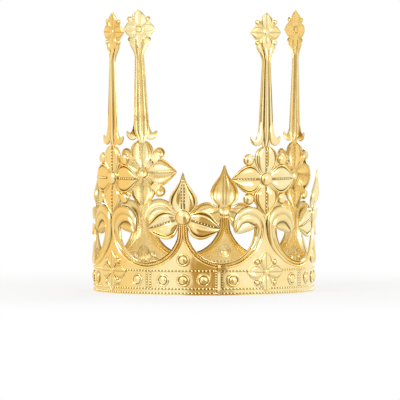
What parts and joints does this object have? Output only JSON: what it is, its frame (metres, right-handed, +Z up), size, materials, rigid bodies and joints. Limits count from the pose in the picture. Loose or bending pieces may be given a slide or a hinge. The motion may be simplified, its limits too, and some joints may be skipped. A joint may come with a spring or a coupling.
{
  "type": "paper crown",
  "caption": "Open hoop crown of gilt card, die-cut and embossed from a single strip, with tall flowered spears and short fleurons rising between round arches; worn on the head.",
  "frame": {"origin": "axis of the hoop on the plane of its lower rim", "axes": "+Z up along the axis of the hoop; -Y out through the front fleuron beside the lap; +X to the viewer's right"},
  "size_m": [0.2001, 0.199, 0.2432],
  "materials": {
    "gilt_card": "metallic foil"
  },
  "bodies": {
    "root": {"crown": "gilt_card"}
  },
  "joints": []
}
